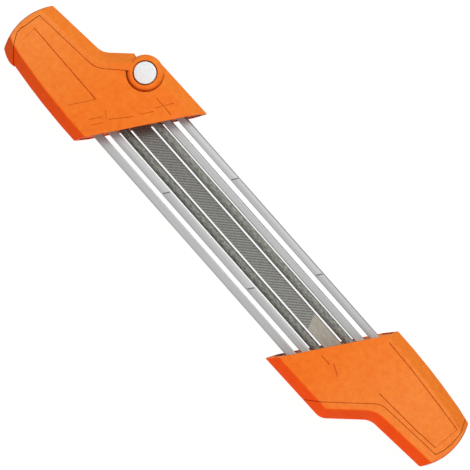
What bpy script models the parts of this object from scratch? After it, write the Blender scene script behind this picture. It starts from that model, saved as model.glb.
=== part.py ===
# Two-in-one chainsaw sharpener: four guide bars between two handles hold two round files for the
# teeth and a flat file for the depth gauges. The long axis is X, the width Y and the thickness Z.
# The tool lies on its flat underside, with the origin below its middle.
import math

import bmesh
import bpy
from mathutils import Matrix, Vector

# Whole tool
MID_HEIGHT = 0.014
FILING_ANGLE = math.radians(30)
MOUTH_ON_AXIS = 0.0886
GAP = 0.0003

# Handle section: flat faces, slanted sides and a narrow upright band round the middle
BAND_HALF_HEIGHT = 0.0035
SIDE_SLOPE = 0.0068
END_SLOPE = 0.0022
FACE_ROUNDING = 0.0007
BAND_EASING = (0.00012, 0.0006)
FACE_EASING = (0.00014, 0.0002)
WALL = 0.0026
INNER_BAND_INSET = 0.0027
INNER_FACE_INSET = 0.0080
INNER_END_INSET = 0.0023

# Handle outline, corner by corner, as drawn for the handle at -X
NOSE_TOP = (-0.0500, 0.0362)
SHOULDER = (-0.1170, 0.0351)
NECK = (-0.1380, 0.0129)
HEEL_TOP = (-0.1792, 0.0091)
HEEL_BOTTOM = (-0.1792, -0.0307)
BACK = ((-0.1678, -0.0326), (-0.1507, -0.0343), (-0.1390, -0.0351), (-0.1220, -0.0357))
NOSE_BOTTOM = (-0.0900, -0.0357)
END_CENTRE = (-0.1481, -0.0107)
END_STEPS = 8
NECK_RADIUS = 0.0114
HEEL_RADIUS = 0.0012
SHOULDER_RADIUS_A = 0.0113
SHOULDER_RADIUS_B = 0.0089

# Hinge of the cap
PIVOT = (-0.1103, 0.0239)
EYE_RADIUS = 0.0113
EYE_ROUNDING = 0.0030
EYE_CLEARANCE = 0.0008
EYE_THICKNESS = 0.0060
SHOULDER_DROP = 0.0005
PIN_RADIUS = 0.0040
PIN_HEAD_RADIUS = 0.00685
PIN_HEAD_THICKNESS = 0.0026
PIN_HEAD_RECESS = 0.0002
COUNTERBORE_RADIUS = 0.0076
SPIGOT_RADIUS = 0.0020
HEAD_ROUNDING = 0.0004
SHANK_ROOT = 0.0010
LUG_WEB = (-0.1120, 0.0145), (-0.1020, 0.0145), (-0.0915, 0.0325), (-0.0915, 0.0345), (-0.1120, 0.0345)

# Parting lines between body and cap or cover, in the same drawing
CAP_LINE = ((-0.1783, -0.0010), (-0.1322, 0.0033), (-0.1190, 0.0161))
CAP_LINE_RADIUS = 0.0150
CAP_END = ((-0.1789, -0.0057), (-0.1792, -0.0102), (-0.1799, -0.0145))
CAP_SURROUND = ((-0.2100, 0.0500), (-0.2100, -0.0500), (-0.1700, -0.0500))
BODY_SIDE = (PIVOT[0], 0.0500)
NECK_SIDE = (-0.1494, 0.0326)
HOOK_RADIUS = 0.0809
HOOK_ANGLES = (math.radians(211.0), math.radians(226.5))
HOOK_BACK = ((-0.1748, -0.0327), (-0.1712, -0.0336), (-0.1690, -0.0336), (-0.1660, -0.0330))
COVER_LINE = ((-0.1784, -0.0031), (-0.1339, 0.0013), (-0.1026, 0.0342), (-0.0947, 0.0423))
COVER_LINE_RADIUS = 0.0120
COVER_END = ((-0.1798, -0.0084), (-0.1800, -0.0144), (-0.1790, -0.0217), (-0.1763, -0.0291))
COVER_SURROUND = ((-0.0947, 0.0600), (-0.2100, 0.0600), (-0.2100, -0.0500), (-0.1722, -0.0500))
SEAM = 0.0004

# Shallow panels and lines on the handle faces
PANEL_DEPTH = 0.0003
PANEL_A = ((-0.1745, -0.0084), (-0.1178, -0.0090), (-0.1261, -0.0237), (-0.1739, -0.0202))
PANEL_B = (
    (-0.1090, -0.0267),
    (-0.1313, -0.0260),
    (-0.1590, -0.0241),
    (-0.1757, -0.0227),
    (-0.1752, -0.0056),
    (-0.1586, -0.0038),
    (-0.1285, -0.0019),
)
GROOVE_WIDTH = 0.0006

# Guide bars: the side towards the files is square, and the other side slants, so that the width at
# the guide face, which comes first here, differs from the width at the far face
BAR_EDGES = {"inner": 0.01215, "outer": 0.01995}
BAR_WIDTHS = {"inner": (0.0044, 0.0050), "outer": (0.0054, 0.0043)}
BAR_HEIGHT = 0.0040
GUIDE_FACE = 0.00085
BAR_INSERT = 0.0160
BAR_PIN_RADIUS = 0.0011
BAR_PIN_INSERT = 0.0100
MARK_SPACING = 0.0777
MARK_SHIFT = 0.0007
MARK_REACH = 0.0060
MARK_WIDTH = 0.0005
MARK_DEPTH = 0.0003

# Files
FILE_LENGTH = 0.2400
FILE_INSERT = 0.0120
ROUND_FILE_Y = 0.0087
ROUND_FILE_Z = 0.00225
ROUND_FILE_RADIUS = 0.00275
FILE_POINT_RADIUS = 0.0020
FILE_POINT_LENGTH = 0.0040
TANG_LENGTH = 0.0400
TANG_ROOT_RADIUS = 0.0022
TANG_TIP_RADIUS = 0.0012
TANG_SHOULDER = 0.0040
FLAT_FILE_WIDTH = 0.0100
FLAT_FILE_THICKNESS = 0.0030
FLAT_FILE_CHAMFER = 0.0003

# Anchor block in each mouth, and the pins
BLOCK_RECESS = 0.0008
BLOCK_DEPTH = 0.0208
POCKET_LEAD = 0.0100
THROUGH_DEPTH = 0.0500
LOCK_PIN_RADIUS = 0.0014
LOCK_PIN_X = -0.1155
LOCK_PIN_ENDS = (-0.0354, -0.0275)
LOCK_BORE_ENDS = (-0.0500, -0.0272)

# Rib of the cap and its rubber pad
PAD_HALF_WIDTH = 0.0120
PAD_STEP = 0.0052
PAD_HALF_HEIGHT = 0.0042
PAD_TOP = 0.0090
PAD_THINNEST = 0.0055
RIB_THICKNESS = 0.0030
RIB_HALF_HEIGHT = 0.0055
RIB_TOP = 0.0112

# Cutters run this far past the middle plane, which is beyond both faces
BEYOND = 0.0300
SHARP_ANGLE = math.radians(30)
CORNER_STEPS = 4
LINE_STEPS = 6
HOOK_STEPS = 8
PIN_SIDES = 12
SHAFT_SIDES = 24
EYE_SIDES = 48


def clear_scene():
    for old in list(bpy.data.objects):
        bpy.data.objects.remove(old, do_unlink=True)


def new_collection(name, hidden=False):
    collection = bpy.data.collections.new(name)
    collection.hide_render = hidden
    bpy.context.scene.collection.children.link(collection)
    return collection


def new_material(name, colour, roughness, metallic=0.0):
    material = bpy.data.materials.new(name)
    material.use_nodes = True
    shader = material.node_tree.nodes["Principled BSDF"]
    shader.inputs["Base Color"].default_value = (*colour, 1.0)
    shader.inputs["Roughness"].default_value = roughness
    shader.inputs["Metallic"].default_value = metallic
    material.diffuse_color = (*colour, 1.0)
    return material


def object_from(name, bm, collection, material=None, pivot=(0.0, 0.0)):
    """Object at its real height, with its origin at a pivot, from a form drawn about the middle plane."""
    bmesh.ops.recalc_face_normals(bm, faces=bm.faces)
    bmesh.ops.translate(bm, vec=(-pivot[0], -pivot[1], 0), verts=bm.verts)
    mesh = bpy.data.meshes.new(name)
    bm.to_mesh(mesh)
    bm.free()
    mesh.shade_smooth()
    mesh.set_sharp_from_angle(angle=SHARP_ANGLE)
    obj = bpy.data.objects.new(name, mesh)
    obj.location = (*pivot, MID_HEIGHT)
    collection.objects.link(obj)
    if material:
        mesh.materials.append(material)
    return obj


def cutter(name, bm):
    obj = object_from(name, bm, cutters)
    obj.hide_render = True
    obj.display_type = "WIRE"
    return obj


def boolean(obj, other, operation):
    modifier = obj.modifiers.new(operation.title() + " " + other.name, "BOOLEAN")
    modifier.operation = operation
    modifier.solver = "EXACT"
    modifier.object = other


def cut(obj, *others):
    for other in others:
        boolean(obj, other, "DIFFERENCE")


def turned_half(points):
    """The same outline for the other handle: half a turn about the vertical."""
    return [(-x, -y) for x, y in points]


def extruded(bm, face, way):
    """Draws one face out into a closed prism."""
    drawn = bmesh.ops.extrude_face_region(bm, geom=[face])["geom"]
    bmesh.ops.translate(bm, vec=way, verts=[v for v in drawn if isinstance(v, bmesh.types.BMVert)])
    return bm


def prism(outline, low, high):
    """Upright prism over a flat outline."""
    bm = bmesh.new()
    face = bm.faces.new([bm.verts.new((x, y, low)) for x, y in outline])
    return extruded(bm, face, (0, 0, high - low))


def cylinder(radius, low, high, x=0.0, y=0.0, segments=SHAFT_SIDES):
    bm = bmesh.new()
    bmesh.ops.create_cone(
        bm, cap_ends=True, segments=segments, radius1=radius, radius2=radius, depth=high - low,
        matrix=Matrix.Translation((x, y, (low + high) / 2)),
    )
    return bm


def box(low, high):
    bm = bmesh.new()
    size = Vector(high) - Vector(low)
    middle = (Vector(high) + Vector(low)) / 2
    bmesh.ops.create_cube(bm, size=1, matrix=Matrix.Translation(middle) @ Matrix.Diagonal((*size, 1)))
    return bm


def offset_edges(points, insets):
    """Moves each edge of a counterclockwise outline inwards by its own distance."""
    moved = []
    for (x, y), (next_x, next_y), inset in zip(points, points[1:] + points[:1], insets):
        along = Vector((next_x - x, next_y - y)).normalized()
        inwards = Vector((-along.y, along.x))
        moved.append((Vector((x, y)) + inwards * inset, along))
    corners = []
    for index, (start, along) in enumerate(moved):
        before, before_along = moved[index - 1]
        cross = before_along.cross(along)
        distance = (start - before).cross(along) / cross
        corners.append(before + before_along * distance)
    return [(corner.x, corner.y) for corner in corners]


def round_corners(points, radii, steps=CORNER_STEPS):
    """Replaces the corners that have a radius by arcs of a fixed number of steps."""
    rounded = []
    for index, (x, y) in enumerate(points):
        corner = Vector((x, y))
        radius = radii.get(index)
        if not radius:
            rounded.append((x, y))
            continue
        back = (Vector(points[index - 1]) - corner).normalized()
        ahead = (Vector(points[(index + 1) % len(points)]) - corner).normalized()
        half_angle = back.angle(ahead) / 2
        centre = corner + (back + ahead).normalized() * radius / math.sin(half_angle)
        reach = radius / math.tan(half_angle)
        start = corner + back * reach - centre
        end = corner + ahead * reach - centre
        first = math.atan2(start.y, start.x)
        turn = (math.atan2(end.y, end.x) - first + math.pi) % math.tau - math.pi
        for step in range(steps + 1):
            angle = first + turn * step / steps
            rounded.append((centre.x + radius * math.cos(angle), centre.y + radius * math.sin(angle)))
    return rounded


def arc(centre, radius, first, last, steps):
    angles = [first + (last - first) * step / steps for step in range(steps + 1)]
    return [(centre[0] + radius * math.cos(a), centre[1] + radius * math.sin(a)) for a in angles]


def meet_circle(start, through, centre, radius):
    """Where the line from one point through another leaves a circle round the centre."""
    along = (Vector(through) - Vector(start)).normalized()
    towards = Vector(centre) - Vector(start)
    middle = towards.dot(along)
    off = towards.cross(along)
    return Vector(start) + along * (middle + math.sqrt(radius**2 - off**2))


def handle_outline(side_inset, end_inset, shoulder_radius, back=BACK):
    """Outline of a handle, running on past its mouth, with its sides and its round end moved in."""
    corners = [NOSE_TOP, SHOULDER, NECK, HEEL_TOP, HEEL_BOTTOM, *back, NOSE_BOTTOM]
    insets = [side_inset] * 3 + [end_inset] + [side_inset] * (len(back) + 1) + [0.0]
    moved = offset_edges(corners, insets)
    end_radius = math.dist(HEEL_TOP, END_CENTRE) - end_inset
    top = meet_circle(moved[2], moved[3], END_CENTRE, end_radius)
    bottom = meet_circle(moved[5], moved[4], END_CENTRE, end_radius)
    first = math.atan2(top.y - END_CENTRE[1], top.x - END_CENTRE[0]) % math.tau
    last = math.atan2(bottom.y - END_CENTRE[1], bottom.x - END_CENTRE[0]) % math.tau
    end = arc(END_CENTRE, end_radius, first, last, END_STEPS)
    radii = {
        1: max(shoulder_radius - side_inset, HEEL_RADIUS),
        2: NECK_RADIUS + side_inset,
        3: HEEL_RADIUS,
        3 + END_STEPS: HEEL_RADIUS,
    }
    return round_corners([*moved[:3], *end, *moved[5:]], radii)


def loft(levels):
    """Closed body through outlines of the same number of points at rising heights."""
    bm = bmesh.new()
    rings = [[bm.verts.new((x, y, z)) for x, y in outline] for z, outline in levels]
    for lower, upper in zip(rings, rings[1:]):
        for index in range(len(lower)):
            bm.faces.new((lower[index - 1], lower[index], upper[index], upper[index - 1]))
    bm.faces.new(reversed(rings[0]))
    bm.faces.new(rings[-1])
    return bm


def trim(bm, point, normal):
    """Removes what lies on the normal's side of a plane, and closes the cut."""
    geometry = bm.verts[:] + bm.edges[:] + bm.faces[:]
    bmesh.ops.bisect_plane(bm, geom=geometry, plane_co=point, plane_no=normal, clear_outer=True)
    bmesh.ops.holes_fill(bm, edges=[edge for edge in bm.edges if edge.is_boundary])


def mouth_plane(depth):
    """A point and the outward normal of the plane that lies this deep in the mouth of the handle at -X."""
    normal = Vector((math.cos(FILING_ANGLE), -math.sin(FILING_ANGLE), 0))
    return Vector((-MOUTH_ON_AXIS - depth, 0, 0)), normal


def mouth_x(y, depth=0.0):
    return -MOUTH_ON_AXIS - depth + y * math.tan(FILING_ANGLE)


def outer_form(shoulder_radius, back=BACK):
    """The full outside of a handle, as one solid cut off at its mouth."""
    slope = (MID_HEIGHT - BAND_HALF_HEIGHT) / SIDE_SLOPE
    half = [
        (BAND_HALF_HEIGHT - FACE_ROUNDING, 0.0),
        (BAND_HALF_HEIGHT, BAND_EASING[0]),
        (BAND_HALF_HEIGHT + FACE_ROUNDING, BAND_EASING[1]),
        (MID_HEIGHT - FACE_ROUNDING, SIDE_SLOPE - FACE_ROUNDING / slope),
        (MID_HEIGHT - FACE_EASING[0], SIDE_SLOPE + FACE_EASING[1]),
        (MID_HEIGHT, SIDE_SLOPE + FACE_ROUNDING),
    ]
    levels = []
    for height, inset in [(-z, d) for z, d in reversed(half)] + half:
        share = inset / SIDE_SLOPE
        levels.append((height, handle_outline(inset, share * END_SLOPE, shoulder_radius, back)))
    bm = loft(levels)
    trim(bm, *mouth_plane(0))
    return bm


def hollow_form(shoulder_radius, spare=0.0):
    """The space inside a handle, running out of its mouth; spare makes it smaller all round."""
    face = MID_HEIGHT - WALL - spare
    levels = []
    for height, side in (
        (-face, INNER_FACE_INSET),
        (-BAND_HALF_HEIGHT, INNER_BAND_INSET),
        (BAND_HALF_HEIGHT, INNER_BAND_INSET),
        (face, INNER_FACE_INSET),
    ):
        levels.append((height, handle_outline(side + spare, INNER_END_INSET + spare, shoulder_radius)))
    return loft(levels)


def turn_half(bm):
    bmesh.ops.rotate(bm, cent=(0, 0, 0), matrix=Matrix.Rotation(math.pi, 3, "Z"), verts=bm.verts)
    return bm


def strip(points, width):
    """Outline of a line of even width along a chain of points."""
    sides = ([], [])
    for index, (x, y) in enumerate(points):
        before = Vector(points[max(index - 1, 0)])
        after = Vector(points[min(index + 1, len(points) - 1)])
        along = (after - before).normalized()
        across = Vector((-along.y, along.x)) * width / 2
        sides[0].append((x + across.x, y + across.y))
        sides[1].append((x - across.x, y - across.y))
    return sides[0] + sides[1][::-1]


def cap_region(spare, side):
    """Plan of the hinged cap, up to a line from the pivot to one side; a positive spare makes it smaller."""
    line = round_corners(list(CAP_LINE), {1: CAP_LINE_RADIUS}, LINE_STEPS)
    hook = arc(PIVOT, HOOK_RADIUS, *HOOK_ANGLES, HOOK_STEPS)
    points = [side, *CAP_SURROUND, *hook[::-1], *CAP_END[::-1], *line, PIVOT]
    moved = len(points) - len(CAP_SURROUND) - 1
    insets = [0.0] * len(CAP_SURROUND) + [spare] * moved + [0.0]
    return offset_edges(points, insets)


def cover_region(spare):
    """Plan of all that belongs to the cover of the fixed handle, drawn for the handle at -X."""
    line = round_corners(list(COVER_LINE), {1: COVER_LINE_RADIUS}, LINE_STEPS)
    points = [*COVER_SURROUND, *COVER_END[::-1], *line]
    moved = len(points) - len(COVER_SURROUND) + 1
    insets = [0.0] * (len(COVER_SURROUND) - 1) + [spare] * moved
    return offset_edges(points, insets)


def round_edges(bm, height, width):
    """Rounds the outer rim of a disc at one height."""
    rim = [e for e in bm.edges if all(abs(v.co.z - height) < 1e-6 for v in e.verts)]
    bmesh.ops.bevel(bm, geom=rim, offset=width, segments=3, profile=0.5, affect="EDGES")
    return bm


def make_handle_a():
    """Body of the hinged handle: shell without the cap's share, with the lug that the pin goes through."""
    x, y = PIVOT
    body = object_from("handle_a_body", outer_form(SHOULDER_RADIUS_A), parts, orange)
    lug_height = MID_HEIGHT - EYE_THICKNESS - GAP
    web_face = MID_HEIGHT - WALL / 2
    room = EYE_RADIUS + EYE_CLEARANCE
    shelf = lug_height - SHOULDER_DROP
    shoulder = cutter("lug_shoulder", cylinder(room, -shelf, shelf, x, y, EYE_SIDES))
    boolean(shoulder, solid_a, "INTERSECT")
    cut(body, hollow_a)
    boolean(body, shoulder, "UNION")
    cut(body, cutter("cap_share", prism(cap_region(-SEAM / 2, BODY_SIDE), -BEYOND, BEYOND)))
    lug_web = cutter("lug_web", prism(LUG_WEB, -web_face, web_face))
    boolean(lug_web, solid_a, "INTERSECT")
    boolean(body, lug_web, "UNION")
    boolean(body, cutter("lug", cylinder(EYE_RADIUS, -lug_height, lug_height, x, y, EYE_SIDES)), "UNION")
    for side, low, high in (("upper", lug_height, BEYOND), ("lower", -BEYOND, -lug_height)):
        cut(body, cutter("eye_pocket_" + side, cylinder(room, low, high, x, y, EYE_SIDES)))
    cut(body, cutter("pin_bore_a", cylinder(PIN_RADIUS + GAP, -BEYOND, BEYOND, x, y)))
    cut(body, cutter("lock_bore_a", lock_pin(LOCK_PIN_RADIUS + GAP, *LOCK_BORE_ENDS)))
    cut(body, cutter("panel_a", prism(PANEL_A, MID_HEIGHT - PANEL_DEPTH, BEYOND)))


def make_cap():
    """Hinged cap: its share of the shell, two eyes round the pin, and the rib that carries the pad."""
    x, y = PIVOT
    cap = object_from("hinged_cap", outer_form(SHOULDER_RADIUS_A, HOOK_BACK), parts, orange, PIVOT)
    cut(cap, hollow_a)
    plan = prism(cap_region(SEAM / 2, NECK_SIDE), -BEYOND, BEYOND)
    boolean(cap, cutter("cap_plan", plan), "INTERSECT")
    lug_height = MID_HEIGHT - EYE_THICKNESS
    room = EYE_RADIUS + EYE_CLEARANCE
    cut(cap, cutter("lug_room", cylinder(room, -lug_height, lug_height, x, y, EYE_SIDES)))
    for side, low, high, rim in (
        ("upper", lug_height, MID_HEIGHT, MID_HEIGHT),
        ("lower", -MID_HEIGHT, -lug_height, -MID_HEIGHT),
    ):
        eye = round_edges(cylinder(EYE_RADIUS, low, high, x, y, EYE_SIDES), rim, EYE_ROUNDING)
        boolean(cap, cutter("eye_" + side, eye), "UNION")
    cut(cap, cutter("pin_bore_cap", cylinder(PIN_RADIUS + GAP, -BEYOND, BEYOND, x, y)))
    head_floor = MID_HEIGHT - PIN_HEAD_RECESS - PIN_HEAD_THICKNESS - GAP
    for side, low, high in (("upper", head_floor, BEYOND), ("lower", -BEYOND, -head_floor)):
        cut(cap, cutter("counterbore_" + side, cylinder(COUNTERBORE_RADIUS, low, high, x, y, EYE_SIDES)))
    rib = cutter("cap_rib", prism(rib_outline(), -RIB_HALF_HEIGHT, RIB_HALF_HEIGHT))
    boolean(rib, solid_a, "INTERSECT")
    boolean(cap, rib, "UNION")


def make_pivot():
    """Two-part nylon pivot pin: a head with a hollow shank, and the opposite head with its spigot."""
    x, y = PIVOT
    head = MID_HEIGHT - PIN_HEAD_RECESS
    under = head - PIN_HEAD_THICKNESS
    upper = cylinder(PIN_HEAD_RADIUS, under, head, x, y, EYE_SIDES)
    pin = object_from("pivot_pin", round_edges(upper, head, HEAD_ROUNDING), parts, nylon, PIVOT)
    boolean(pin, cutter("shank", cylinder(PIN_RADIUS, -under + GAP, under + SHANK_ROOT, x, y)), "UNION")
    cut(pin, cutter("spigot_bore", cylinder(SPIGOT_RADIUS + GAP, -BEYOND, 0.0, x, y)))
    lower = cylinder(PIN_HEAD_RADIUS, -head, -under, x, y, EYE_SIDES)
    pin_cap = object_from("pivot_pin_cap", round_edges(lower, -head, HEAD_ROUNDING), parts, nylon, PIVOT)
    spigot = cylinder(SPIGOT_RADIUS, -under - SHANK_ROOT, -SHANK_ROOT, x, y)
    boolean(pin_cap, cutter("spigot", spigot), "UNION")


def make_handle_b():
    """Body of the fixed handle, and the cover that closes its side and its end."""
    body = object_from("handle_b_body", turn_half(outer_form(SHOULDER_RADIUS_B)), parts, orange)
    cover = object_from("handle_b_cover", turn_half(outer_form(SHOULDER_RADIUS_B)), parts, orange)
    hollow = cutter("hollow_b", turn_half(hollow_form(SHOULDER_RADIUS_B)))
    cut(body, hollow, cutter("cover_share", prism(turned_half(cover_region(-SEAM / 2)), -BEYOND, BEYOND)))
    cut(body, cutter("lock_bore_b", turn_half(lock_pin(LOCK_PIN_RADIUS + GAP, *LOCK_BORE_ENDS))))
    groove = turned_half(strip(PANEL_B, GROOVE_WIDTH))
    cut(body, cutter("panel_b", prism(groove, MID_HEIGHT - PANEL_DEPTH, BEYOND)))
    cut(cover, hollow)
    cover_plan = prism(turned_half(cover_region(SEAM / 2)), -BEYOND, BEYOND)
    boolean(cover, cutter("cover_plan", cover_plan), "INTERSECT")


def lock_pin(radius, low, high):
    """Level pin along Y, drawn for the handle at -X."""
    bm = bmesh.new()
    middle = Matrix.Translation((LOCK_PIN_X, (low + high) / 2, 0)) @ Matrix.Rotation(math.pi / 2, 4, "X")
    bmesh.ops.create_cone(
        bm, cap_ends=True, segments=PIN_SIDES, radius1=radius, radius2=radius, depth=high - low,
        matrix=middle,
    )
    return bm


def bar_section(side, place, spare=0.0):
    """Middle, facing, and Y and Z corners of a guide bar; the bars of one side face opposite ways."""
    sign = -1 if side == "left" else 1
    up = 1 if (side == "left") == (place == "inner") else -1
    edge, widths = BAR_EDGES[place], BAR_WIDTHS[place]
    guide, far = -up * (GUIDE_FACE + spare), up * (BAR_HEIGHT - GUIDE_FACE + spare)
    near = sign * (edge - spare)
    at_guide, at_far = (sign * (edge + width + spare) for width in widths)
    corners = [(near, guide), (at_guide, guide), (at_far, far), (near, far)]
    return sign * (edge + sum(widths) / 4), up, corners


def bar_form(corners, start, end):
    """Bar of one section along X."""
    bm = bmesh.new()
    face = bm.faces.new([bm.verts.new((start, y, z)) for y, z in corners])
    return extruded(bm, face, (end - start, 0, 0))


def make_bars():
    """Four guide bars, drilled for their pins, with 30 degree sighting marks cut in the raised ones."""
    for side in ("left", "right"):
        for place in ("outer", "inner"):
            centre, up, corners = bar_section(side, place)
            middle = centre * math.tan(FILING_ANGLE)
            reach = MOUTH_ON_AXIS + BAR_INSERT
            name = "guide_bar_" + side + "_" + place
            bar = object_from(name, bar_form(corners, middle - reach, middle + reach), parts, aluminium)
            for end in (-1, 1):
                pin_x = middle + end * (MOUTH_ON_AXIS + BAR_PIN_INSERT)
                drill = cylinder(BAR_PIN_RADIUS + GAP, -BEYOND, BEYOND, pin_x, centre, PIN_SIDES)
                cut(bar, cutter(name + "_drill_" + ("a" if end < 0 else "b"), drill))
                mark_x = middle + end * MARK_SPACING / 2 - MARK_SHIFT
                slope = math.tan(FILING_ANGLE) * MARK_REACH
                ends = [(mark_x - slope, centre - MARK_REACH), (mark_x + slope, centre + MARK_REACH)]
                face = up * (BAR_HEIGHT - GUIDE_FACE)
                low, high = sorted((face - up * MARK_DEPTH, face + up * MARK_DEPTH))
                mark = prism(strip(ends, MARK_WIDTH), low, high)
                cut(bar, cutter(name + "_mark_" + ("a" if end < 0 else "b"), mark))


def file_ends(y):
    """Rear end in the hinged handle and front end in the fixed handle of a file at this place."""
    front = -mouth_x(-y) + FILE_INSERT
    return front - FILE_LENGTH, front


def make_files():
    """Two round files that narrow to a tang, and a flat file of even section."""
    for side, sign in (("left", -1), ("right", 1)):
        rear, front = file_ends(sign * ROUND_FILE_Y)
        profile = [
            (0.0, 0.0),
            (TANG_TIP_RADIUS, 0.0),
            (TANG_ROOT_RADIUS, TANG_LENGTH - TANG_SHOULDER),
            (ROUND_FILE_RADIUS, TANG_LENGTH),
            (ROUND_FILE_RADIUS, FILE_LENGTH - FILE_POINT_LENGTH),
            (FILE_POINT_RADIUS, FILE_LENGTH),
            (0.0, FILE_LENGTH),
        ]
        mesh = bpy.data.meshes.new("round_file_" + side)
        points = [(radius, 0, height) for radius, height in profile[::-1]]
        mesh.from_pydata(points, [(i, i + 1) for i in range(len(points) - 1)], [])
        mesh.materials.append(file_steel)
        obj = bpy.data.objects.new("round_file_" + side, mesh)
        parts.objects.link(obj)
        obj.location = (rear, sign * ROUND_FILE_Y, MID_HEIGHT + sign * ROUND_FILE_Z)
        obj.rotation_euler = (0, math.pi / 2, 0)
        screw = obj.modifiers.new("Turned", "SCREW")
        screw.axis = "Z"
        screw.steps = screw.render_steps = SHAFT_SIDES
        screw.use_merge_vertices = True
        screw.merge_threshold = 0.00001
    rear, front = file_ends(0)
    half_width, half_thick = FLAT_FILE_WIDTH / 2, FLAT_FILE_THICKNESS / 2
    blank = box((rear, -half_width, -half_thick), (front, half_width, half_thick))
    flat = object_from("flat_file", blank, parts, file_steel)
    bevel = flat.modifiers.new("Worn edges", "BEVEL")
    bevel.width = FLAT_FILE_CHAMFER
    bevel.segments = 1


def make_anchor_block(handle):
    """Block that fills the mouth of a handle, with pockets for the bars and seats for the files."""
    blind = handle == "b"
    bm = hollow_form(SHOULDER_RADIUS_B if blind else SHOULDER_RADIUS_A, GAP)
    trim(bm, *mouth_plane(BLOCK_RECESS))
    point, normal = mouth_plane(BLOCK_DEPTH)
    trim(bm, point, -normal)
    sign = 1 if blind else -1
    if blind:
        turn_half(bm)
    block = object_from("handle_" + handle + "_anchor_block", bm, parts, orange)
    tag = "_" + handle
    pins = []
    for side in ("left", "right"):
        for place in ("outer", "inner"):
            centre, up, corners = bar_section(side, place, GAP)
            middle = centre * math.tan(FILING_ANGLE)
            near, far = MOUTH_ON_AXIS - POCKET_LEAD, MOUTH_ON_AXIS + BAR_INSERT + GAP
            ends = sorted((middle + sign * near, middle + sign * far))
            cut(block, cutter("pocket_" + side + "_" + place + tag, bar_form(corners, *ends)))
            pins.append((side + "_" + place, middle + sign * (MOUTH_ON_AXIS + BAR_PIN_INSERT), centre))
    seat = FILE_INSERT + GAP if blind else THROUGH_DEPTH
    ends = sorted((sign * (MOUTH_ON_AXIS - POCKET_LEAD), sign * (MOUTH_ON_AXIS + seat)))
    for side, y in (("left", -ROUND_FILE_Y), ("right", ROUND_FILE_Y)):
        bore = bmesh.new()
        radius = ROUND_FILE_RADIUS + GAP
        middle = (sum(ends) / 2 + y * math.tan(FILING_ANGLE), y, math.copysign(ROUND_FILE_Z, y))
        bmesh.ops.create_cone(
            bore, cap_ends=True, segments=SHAFT_SIDES, radius1=radius, radius2=radius,
            depth=ends[1] - ends[0],
            matrix=Matrix.Translation(middle) @ Matrix.Rotation(math.pi / 2, 4, "Y"),
        )
        cut(block, cutter("file_seat_" + side + tag, bore))
    half_width, half_thick = FLAT_FILE_WIDTH / 2 + GAP, FLAT_FILE_THICKNESS / 2 + GAP
    slot = box((ends[0], -half_width, -half_thick), (ends[1], half_width, half_thick))
    cut(block, cutter("flat_seat" + tag, slot))
    drill_lock = lock_pin(LOCK_PIN_RADIUS + GAP, *LOCK_BORE_ENDS)
    cut(block, cutter("block_lock" + tag, turn_half(drill_lock) if blind else drill_lock))
    pin_face = MID_HEIGHT - WALL - 2 * GAP
    for place, x, y in pins:
        drill = cylinder(BAR_PIN_RADIUS + GAP, -BEYOND, BEYOND, x, y, PIN_SIDES)
        cut(block, cutter("pin_hole_" + place + tag, drill))
        pin = cylinder(BAR_PIN_RADIUS, -pin_face, pin_face, x, y, PIN_SIDES)
        object_from("handle_" + handle + "_bar_pin_" + place, pin, parts, steel)
    lock = lock_pin(LOCK_PIN_RADIUS, *LOCK_PIN_ENDS)
    object_from("handle_" + handle + "_lock_pin", turn_half(lock) if blind else lock, parts, steel)


def pad_back(y):
    """X of the slanted back of the pad, which follows the filing angle."""
    return file_ends(0)[0] - PAD_THINNEST + y * math.tan(FILING_ANGLE)


def rib_outline():
    """Slanted rib behind the pad, from its low end up into the side wall of the cap."""
    low, high = -PAD_HALF_WIDTH, RIB_TOP
    front_low, front_high = pad_back(low) - GAP, pad_back(high) - GAP
    back_low, back_high = front_low - RIB_THICKNESS, front_high - RIB_THICKNESS
    return [(front_low, low), (front_high, high), (back_high, high), (back_low, low)]


def make_pad():
    """Rubber pad with a step in front of each file end."""
    outline = []
    for low, high, y in (
        (-PAD_HALF_WIDTH, -PAD_STEP, -ROUND_FILE_Y),
        (-PAD_STEP, PAD_STEP, 0.0),
        (PAD_STEP, PAD_TOP, ROUND_FILE_Y),
    ):
        face = file_ends(y)[0] - GAP
        outline += [(face, low), (face, high)]
    outline += [(pad_back(PAD_TOP), PAD_TOP), (pad_back(-PAD_HALF_WIDTH), -PAD_HALF_WIDTH)]
    object_from("file_end_pad", prism(outline, -PAD_HALF_HEIGHT, PAD_HALF_HEIGHT), parts, rubber, PIVOT)


clear_scene()
parts = new_collection("chainsaw_sharpener")
cutters = new_collection("cutters", hidden=True)
orange = new_material("orange nylon", (0.86, 0.185, 0.022), 0.5)
nylon = new_material("white nylon", (0.82, 0.80, 0.79), 0.4)
aluminium = new_material("aluminium", (0.47, 0.47, 0.47), 0.4, 1.0)
file_steel = new_material("file steel", (0.20, 0.19, 0.18), 0.5, 1.0)
steel = new_material("pin steel", (0.45, 0.45, 0.46), 0.35, 1.0)
rubber = new_material("black rubber", (0.03, 0.03, 0.03), 0.8)
solid_a = cutter("solid_a", outer_form(SHOULDER_RADIUS_A))
hollow_a = cutter("hollow_a", hollow_form(SHOULDER_RADIUS_A))
make_handle_a()
make_cap()
make_pivot()
make_handle_b()
make_bars()
make_files()
make_anchor_block("a")
make_anchor_block("b")
make_pad()
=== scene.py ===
import math

import bmesh
import bpy
from mathutils import Matrix, Vector


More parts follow.
